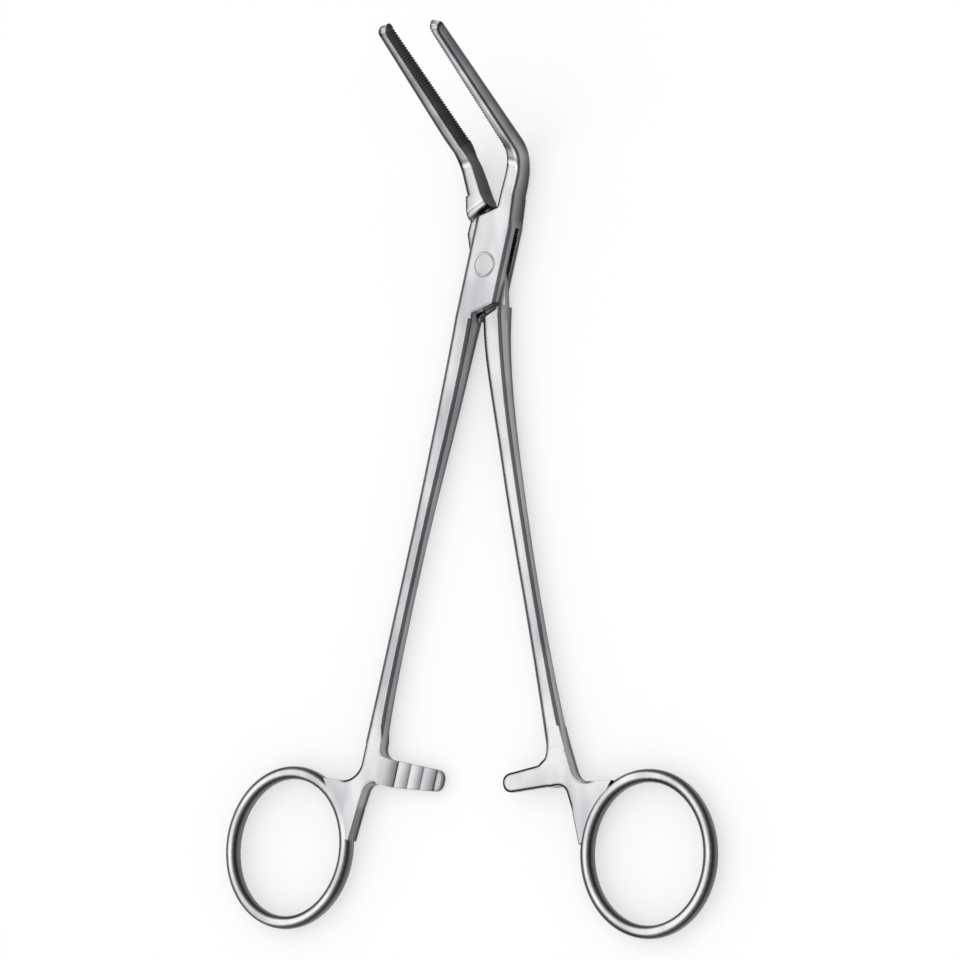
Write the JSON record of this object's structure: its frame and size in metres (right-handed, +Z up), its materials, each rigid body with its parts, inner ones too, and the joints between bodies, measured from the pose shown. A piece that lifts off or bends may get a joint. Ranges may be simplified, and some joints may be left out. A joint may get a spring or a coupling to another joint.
{
  "type": "vascular clamp",
  "caption": "Vascular clamp with finger rings, a ratchet, a box joint, and slim cross-serrated jaws bent up out of the plane in which they open.",
  "frame": {"origin": "on the axis of the rivet pin, at the underside of the box joint", "axes": "+Y from the finger rings to the jaws along the clamp's mid line, +Z up along the pin, the way the jaws are bent, +X to the right seen from above"},
  "size_m": [0.1096, 0.1733, 0.0381],
  "materials": {
    "box_half_steel": "satin",
    "tongue_half_steel": "satin",
    "pin_steel": "satin"
  },
  "bodies": {
    "fixed_half": {"box_half": "box_half_steel", "pivot_pin": "pin_steel"},
    "moving_half": {"tongue_half": "tongue_half_steel"}
  },
  "joints": [
    {"name": "box_joint", "type": "hinge", "parent": "fixed_half", "child": "moving_half", "pos_m": [0, 0, 0.00265], "axis": [0, 0, 1], "range_deg": [-13, 20]}
  ]
}
